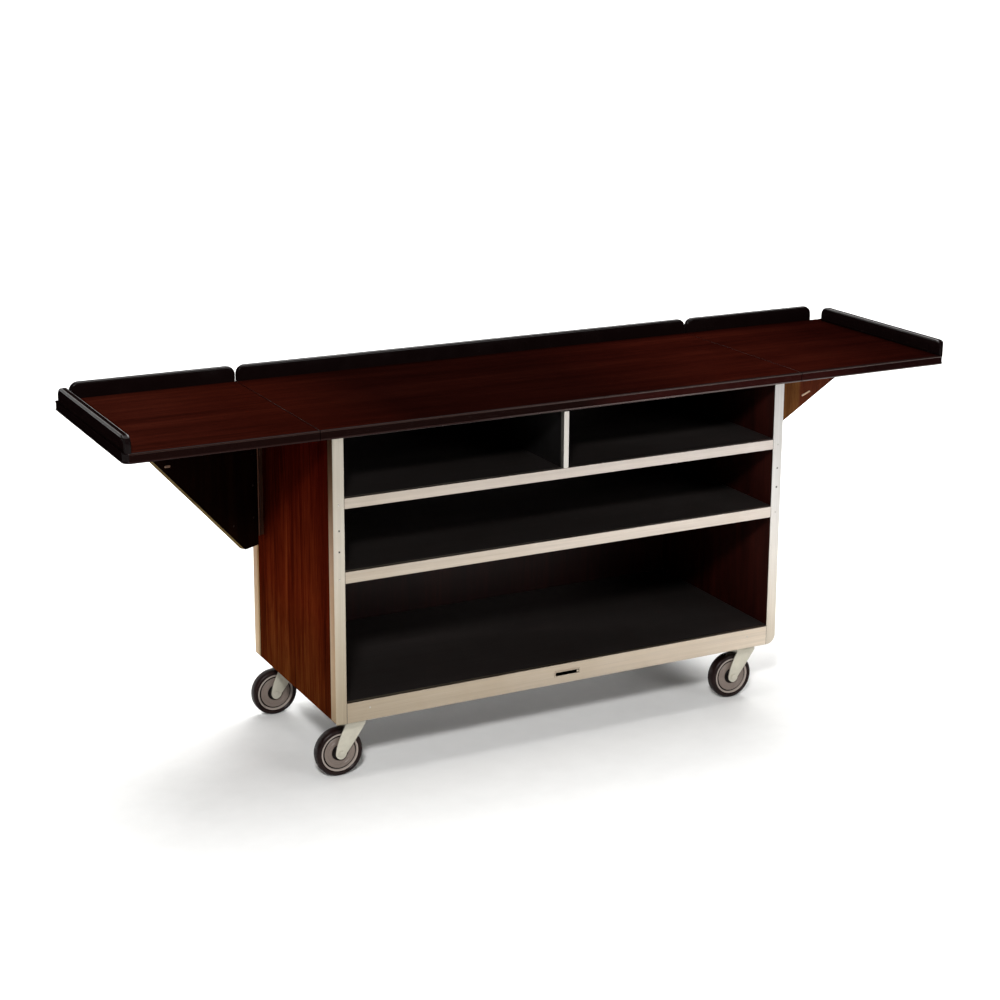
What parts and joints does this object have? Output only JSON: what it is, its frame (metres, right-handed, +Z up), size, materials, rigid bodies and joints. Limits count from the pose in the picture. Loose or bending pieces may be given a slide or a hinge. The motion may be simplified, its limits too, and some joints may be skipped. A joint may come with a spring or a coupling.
{
  "type": "food service trolley",
  "caption": "Mobile food service trolley: open-front shelf cabinet on swivel casters, raised-edge top with hinged end leaves on fold-out brackets.",
  "frame": {"origin": "centre of the footprint at floor level, under the middle of the top", "axes": "+X along the length to the right as seen from the open front, +Y to the back, +Z up"},
  "size_m": [2.374, 0.594, 0.972],
  "materials": {
    "mahogany_panel": "satin reddish mahogany laminate, vertical grain",
    "mahogany_top": "semi-gloss dark mahogany laminate, grain along the length",
    "black_edge": "glossy black edge and guard",
    "stainless": "brushed satin stainless steel",
    "shelf_steel": "satin stainless sheet",
    "bracket_wood": "dark brown laminate with tan banded edges",
    "hinge_steel": "plain satin steel",
    "zinc": "pale zinc plate",
    "bright_steel": "bright plated fasteners",
    "tyre_black": "matte black rubber",
    "hub_grey": "taupe-grey moulded hub"
  },
  "bodies": {
    "cabinet": {"post_front_left": "stainless", "post_back_left": "stainless", "end_panel_left": "mahogany_panel", "post_front_right": "stainless", "post_back_right": "stainless", "end_panel_right": "mahogany_panel", "back_panel": "mahogany_panel", "base_rail_front": "stainless", "base_rail_back": "stainless", "middle_rail": "stainless", "upper_rail": "stainless", "top_rails": "stainless", "divider_cap": "stainless", "badge_plate": "stainless", "base_deck": "shelf_steel", "middle_shelf": "shelf_steel", "upper_shelf": "shelf_steel", "divider_panel": "shelf_steel", "post_screws": "bright_steel", "centre_board": "mahogany_top", "centre_edge": "black_edge", "centre_guard": "black_edge", "fixed_hinge_plates": "hinge_steel", "hinge_pins": "hinge_steel", "caster_bolsters": "hinge_steel", "caster_plates": "zinc", "caster_kingpins": "zinc", "caster_bolts": "bright_steel"},
    "leaf_left": {"leaf_board_left": "mahogany_top", "leaf_edge_left": "black_edge", "leaf_back_guard_left": "black_edge", "leaf_end_guard_left": "black_edge", "leaf_pad_left": "bracket_wood", "leaf_hinge_left": "hinge_steel"},
    "bracket_left": {"bracket_wing_left": "bracket_wood", "bracket_hinge_left": "hinge_steel"},
    "leaf_right": {"leaf_board_right": "mahogany_top", "leaf_edge_right": "black_edge", "leaf_back_guard_right": "black_edge", "leaf_end_guard_right": "black_edge", "leaf_pad_right": "bracket_wood", "leaf_hinge_right": "hinge_steel"},
    "bracket_right": {"bracket_wing_right": "bracket_wood", "bracket_hinge_right": "hinge_steel"},
    "swivel_front_left": {"caster_fork_front_left": "zinc", "caster_axle_front_left": "bright_steel"},
    "wheel_front_left": {"caster_tyre_front_left": "tyre_black", "caster_hub_front_left": "hub_grey"},
    "swivel_front_right": {"caster_fork_front_right": "zinc", "caster_axle_front_right": "bright_steel"},
    "wheel_front_right": {"caster_tyre_front_right": "tyre_black", "caster_hub_front_right": "hub_grey"},
    "swivel_back_left": {"caster_fork_back_left": "zinc", "caster_axle_back_left": "bright_steel"},
    "wheel_back_left": {"caster_tyre_back_left": "tyre_black", "caster_hub_back_left": "hub_grey"},
    "swivel_back_right": {"caster_fork_back_right": "zinc", "caster_axle_back_right": "bright_steel"},
    "wheel_back_right": {"caster_tyre_back_right": "tyre_black", "caster_hub_back_right": "hub_grey"}
  },
  "joints": [
    {"name": "leaf_lift_left", "type": "hinge", "parent": "cabinet", "child": "leaf_left", "pos_m": [-0.7, 0, 0.9013], "axis": [0, 1, 0], "range_deg": [0, 3]},
    {"name": "bracket_fold_left", "type": "hinge", "parent": "cabinet", "child": "bracket_left", "pos_m": [-0.6705, 0.2146, 0.7], "axis": [0, 0, -1], "range_deg": [-57, 25]},
    {"name": "leaf_lift_right", "type": "hinge", "parent": "cabinet", "child": "leaf_right", "pos_m": [0.7, 0, 0.9013], "axis": [0, -1, 0], "range_deg": [0, 3]},
    {"name": "bracket_fold_right", "type": "hinge", "parent": "cabinet", "child": "bracket_right", "pos_m": [0.6705, 0.2146, 0.7], "axis": [0, 0, 1], "range_deg": [-57, 25]},
    {"name": "caster_swivel_front_left", "type": "hinge", "parent": "cabinet", "child": "swivel_front_left", "pos_m": [-0.592, -0.2144, 0.14], "axis": [0, 0, 1], "continuous": true},
    {"name": "wheel_spin_front_left", "type": "hinge", "parent": "swivel_front_left", "child": "wheel_front_left", "pos_m": [-0.632, -0.2144, 0.0635], "axis": [0, 1, 0], "continuous": true},
    {"name": "caster_swivel_front_right", "type": "hinge", "parent": "cabinet", "child": "swivel_front_right", "pos_m": [0.592, -0.2144, 0.14], "axis": [0, 0, 1], "continuous": true},
    {"name": "wheel_spin_front_right", "type": "hinge", "parent": "swivel_front_right", "child": "wheel_front_right", "pos_m": [0.552, -0.2144, 0.0635], "axis": [0, 1, 0], "continuous": true},
    {"name": "caster_swivel_back_left", "type": "hinge", "parent": "cabinet", "child": "swivel_back_left", "pos_m": [-0.592, 0.2336, 0.14], "axis": [0, 0, 1], "continuous": true},
    {"name": "wheel_spin_back_left", "type": "hinge", "parent": "swivel_back_left", "child": "wheel_back_left", "pos_m": [-0.632, 0.2336, 0.0635], "axis": [0, 1, 0], "continuous": true},
    {"name": "caster_swivel_back_right", "type": "hinge", "parent": "cabinet", "child": "swivel_back_right", "pos_m": [0.592, 0.2336, 0.14], "axis": [0, 0, 1], "continuous": true},
    {"name": "wheel_spin_back_right", "type": "hinge", "parent": "swivel_back_right", "child": "wheel_back_right", "pos_m": [0.552, 0.2336, 0.0635], "axis": [0, 1, 0], "continuous": true}
  ]
}
